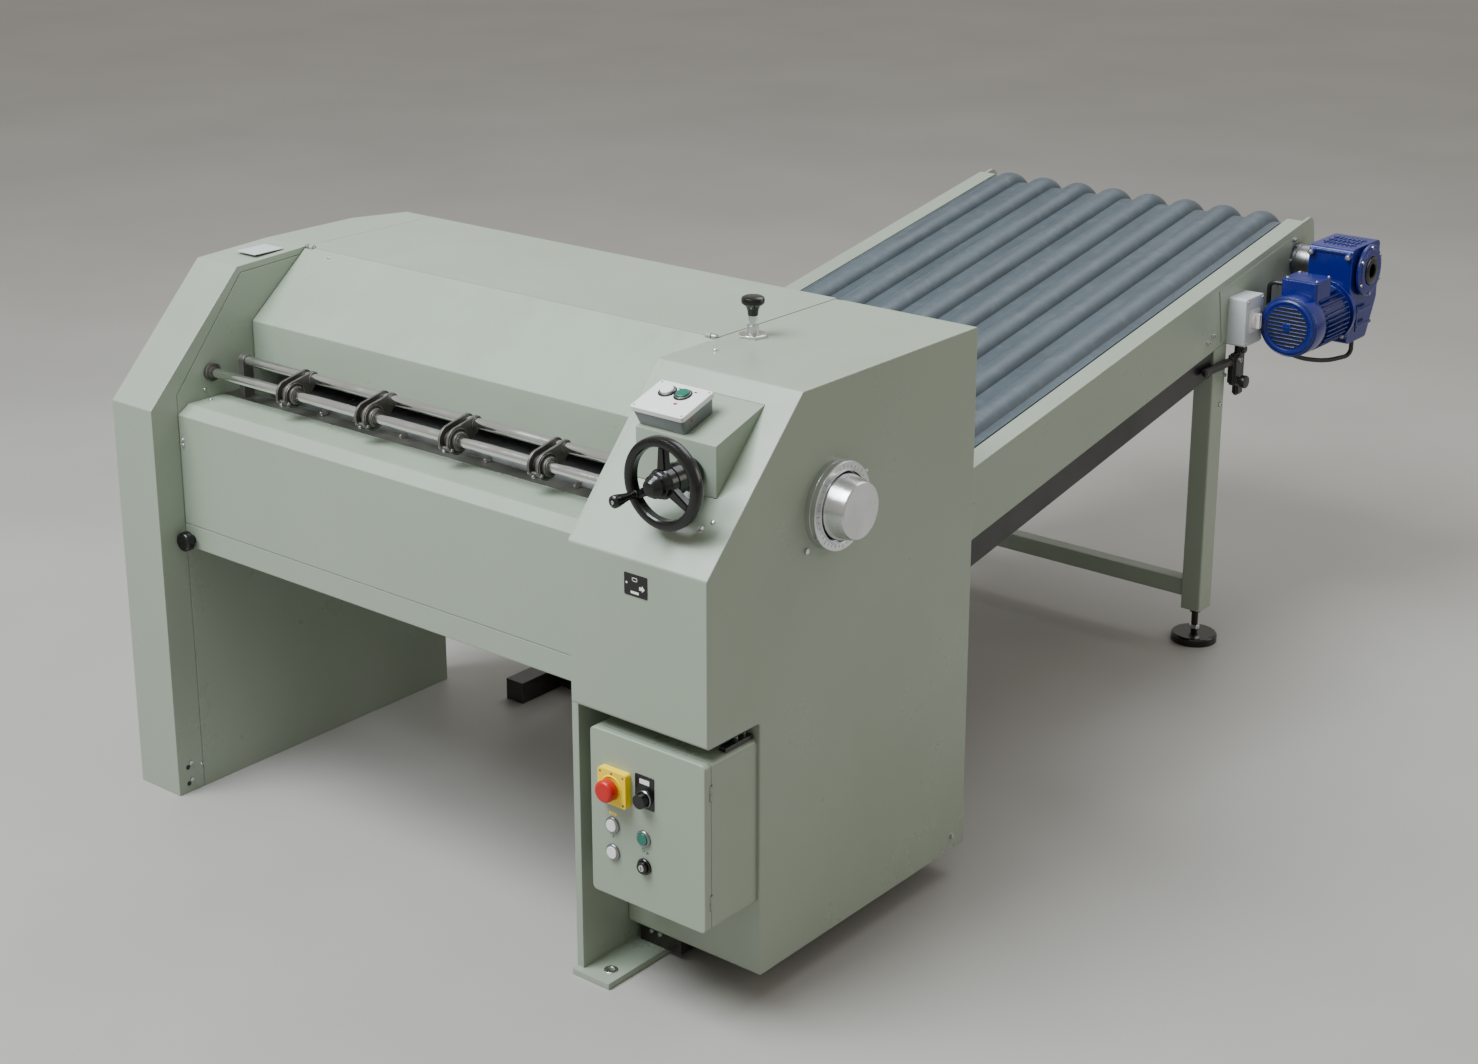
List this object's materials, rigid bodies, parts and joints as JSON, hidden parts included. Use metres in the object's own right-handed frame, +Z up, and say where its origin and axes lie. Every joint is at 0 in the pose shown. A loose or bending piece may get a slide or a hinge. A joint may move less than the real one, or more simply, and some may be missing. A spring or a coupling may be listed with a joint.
{
  "type": "motorised roller press",
  "caption": "Cabinet roller press with a guarded feed slot, guide rods with sliding clamps, a handwheel drive cabinet and an inclined ribbed delivery conveyor.",
  "frame": {"origin": "centre of the press frame's four anchor holes, on the floor", "axes": "+Z up, +Y from the feed side to the delivery conveyor, +X towards the drive cabinet"},
  "size_m": [1.6205, 2.5966, 1.176],
  "materials": {
    "sage_paint": "satin",
    "bright_steel": "satin",
    "plate_steel": "worn",
    "chromed_rod": "polished",
    "dark_cast": "rough",
    "roller_steel": "ground",
    "gear_steel": "machined",
    "motor_grey": "satin",
    "black_plastic": "glossy",
    "light_grey_plastic": "matt",
    "white_plastic": "glossy",
    "green_plastic": "glossy",
    "turned_aluminium": "turned",
    "black_paint": "semi-gloss",
    "yellow_plastic": "satin",
    "red_plastic": "glossy",
    "belt_rubber": "satin",
    "blue_paint": "gloss",
    "light_grey_paint": "satin",
    "cable_rubber": "matt"
  },
  "bodies": {
    "root": {"right_frame_plate": "sage_paint", "left_frame_plate": "sage_paint", "left_cover": "sage_paint", "right_casing": "sage_paint", "top_panel": "sage_paint", "front_panel": "sage_paint", "frame_ties": "sage_paint", "console": "sage_paint", "box_body": "sage_paint", "conveyor_rails": "sage_paint", "bearing_plates": "sage_paint", "leg_frame": "sage_paint", "guard_hinge": "bright_steel", "feed_plates": "plate_steel", "front_rod": "chromed_rod", "rear_rod": "chromed_rod", "rod_bushes": "dark_cast", "bearing_blocks": "dark_cast", "drive_motor": "motor_grey", "station_case": "light_grey_plastic", "dial_base": "turned_aluminium", "plunger_base": "bright_steel", "casing_screws": "bright_steel", "box_brackets": "black_paint", "conveyor_belt": "belt_rubber", "return_tray": "black_paint", "levelling_feet": "black_plastic", "tail_stand": "black_paint", "gearbox": "blue_paint", "gear_motor": "blue_paint", "isolator_box": "light_grey_paint", "motor_lead": "cable_rubber"},
    "guard": {"front_guard": "sage_paint"},
    "lower_roller": {"lower_roller": "roller_steel", "lower_gear": "gear_steel"},
    "upper_roller": {"upper_roller": "roller_steel", "upper_gear": "gear_steel"},
    "drive_pinion": {"drive_pinion": "gear_steel"},
    "handwheel": {"handwheel": "black_plastic"},
    "handwheel_grip": {"handwheel_grip": "black_plastic"},
    "dial_knob": {"dial_knob": "turned_aluminium"},
    "plunger_knob": {"plunger_knob": "black_plastic"},
    "lock_knob": {"lock_knob": "black_plastic"},
    "box_door": {"box_door": "sage_paint", "estop_base": "yellow_plastic"},
    "estop_head": {"estop_head": "red_plastic"},
    "selector_knob": {"selector_knob": "black_plastic"},
    "upper_button": {"upper_button": "white_plastic"},
    "lower_button": {"lower_button": "white_plastic"},
    "start_button": {"start_button": "green_plastic"},
    "key_switch": {"key_switch": "black_plastic"},
    "station_stop_button": {"station_stop_button": "white_plastic"},
    "station_start_button": {"station_start_button": "green_plastic"},
    "head_drum": {"head_drum": "roller_steel"},
    "tail_drum": {"tail_drum": "roller_steel"},
    "isolator_knob": {"isolator_knob": "light_grey_plastic"},
    "rod_clamp_1": {"rod_clamp_1": "dark_cast"},
    "rod_clamp_2": {"rod_clamp_2": "dark_cast"},
    "rod_clamp_3": {"rod_clamp_3": "dark_cast"},
    "rod_clamp_4": {"rod_clamp_4": "dark_cast"}
  },
  "joints": [
    {"name": "guard_lift", "type": "hinge", "parent": "root", "child": "guard", "pos_m": [0, 0.046, 1.1], "axis": [-1, 0, 0], "range_deg": [0, 70]},
    {"name": "lower_roller_spin", "type": "hinge", "parent": "root", "child": "lower_roller", "pos_m": [0, 0, 0.763], "axis": [1, 0, 0], "continuous": true},
    {"name": "upper_roller_spin", "type": "hinge", "parent": "root", "child": "upper_roller", "pos_m": [0, 0, 0.915], "axis": [1, 0, 0], "continuous": true},
    {"name": "pinion_spin", "type": "hinge", "parent": "root", "child": "drive_pinion", "pos_m": [0, 0, 0.649], "axis": [1, 0, 0], "continuous": true},
    {"name": "handwheel_spin", "type": "hinge", "parent": "root", "child": "handwheel", "pos_m": [0.768, -0.35, 0.977], "axis": [0, -1, 0], "continuous": true},
    {"name": "grip_spin", "type": "hinge", "parent": "handwheel", "child": "handwheel_grip", "pos_m": [0.71276, -0.35, 0.94885], "axis": [0, -1, 0], "continuous": true},
    {"name": "dial_turn", "type": "hinge", "parent": "root", "child": "dial_knob", "pos_m": [0.9, -0.034, 0.879], "axis": [1, 0, 0], "range_deg": [0, 300]},
    {"name": "plunger_press", "type": "slide", "parent": "root", "child": "plunger_knob", "axis": [0, 0, -1], "range_m": [0, 0.008], "stiffness_N_per_m": 400, "springref_m": -0.012},
    {"name": "lock_turn", "type": "hinge", "parent": "root", "child": "lock_knob", "pos_m": [-0.534, -0.31, 0.559], "axis": [0, -1, 0], "range_deg": [0, 90]},
    {"name": "door_swing", "type": "hinge", "parent": "root", "child": "box_door", "pos_m": [0.872, -0.356, 0.3525], "axis": [0, 0, 1], "range_deg": [0, 110]},
    {"name": "estop_press", "type": "slide", "parent": "box_door", "child": "estop_head", "axis": [0, 1, 0], "range_m": [0, 0.005], "stiffness_N_per_m": 2000, "springref_m": -0.001},
    {"name": "selector_turn", "type": "hinge", "parent": "box_door", "child": "selector_knob", "pos_m": [0.739, -0.372, 0.409], "axis": [0, -1, 0], "range_deg": [0, 90]},
    {"name": "upper_button_press", "type": "slide", "parent": "box_door", "child": "upper_button", "axis": [0, 1, 0], "range_m": [0, 0.003], "stiffness_N_per_m": 600, "springref_m": -0.001},
    {"name": "lower_button_press", "type": "slide", "parent": "box_door", "child": "lower_button", "axis": [0, 1, 0], "range_m": [0, 0.003], "stiffness_N_per_m": 600, "springref_m": -0.001},
    {"name": "start_button_press", "type": "slide", "parent": "box_door", "child": "start_button", "axis": [0, 1, 0], "range_m": [0, 0.003], "stiffness_N_per_m": 600, "springref_m": -0.001},
    {"name": "key_turn", "type": "hinge", "parent": "box_door", "child": "key_switch", "pos_m": [0.737, -0.372, 0.28], "axis": [0, -1, 0], "range_deg": [0, 90]},
    {"name": "station_stop_press", "type": "slide", "parent": "root", "child": "station_stop_button", "axis": [0, 0.3051, -0.9523], "range_m": [0, 0.004], "stiffness_N_per_m": 600, "springref_m": -0.001},
    {"name": "station_start_press", "type": "slide", "parent": "root", "child": "station_start_button", "axis": [0, 0.3051, -0.9523], "range_m": [0, 0.004], "stiffness_N_per_m": 600, "springref_m": -0.001},
    {"name": "head_drum_spin", "type": "hinge", "parent": "root", "child": "head_drum", "pos_m": [0, 2.073, 0.882], "axis": [1, 0, 0], "continuous": true},
    {"name": "tail_drum_spin", "type": "hinge", "parent": "root", "child": "tail_drum", "pos_m": [0, 0.50696, 0.60699], "axis": [1, 0, 0], "continuous": true},
    {"name": "isolator_turn", "type": "hinge", "parent": "root", "child": "isolator_knob", "pos_m": [0.75, 1.7715, 0.7985], "axis": [1, 0, 0], "range_deg": [0, 90]},
    {"name": "clamp_slide_1", "type": "slide", "parent": "root", "child": "rod_clamp_1", "axis": [1, 0, 0], "range_m": [-0.08, 0.08]},
    {"name": "clamp_slide_2", "type": "slide", "parent": "root", "child": "rod_clamp_2", "axis": [1, 0, 0], "range_m": [-0.08, 0.08]},
    {"name": "clamp_slide_3", "type": "slide", "parent": "root", "child": "rod_clamp_3", "axis": [1, 0, 0], "range_m": [-0.08, 0.08]},
    {"name": "clamp_slide_4", "type": "slide", "parent": "root", "child": "rod_clamp_4", "axis": [1, 0, 0], "range_m": [-0.08, 0.08]}
  ],
  "couplings": [
    {"joint": "upper_roller_spin", "follows": "lower_roller_spin", "ratio": -1},
    {"joint": "pinion_spin", "follows": "lower_roller_spin", "ratio": -2},
    {"joint": "tail_drum_spin", "follows": "head_drum_spin", "ratio": 1}
  ]
}
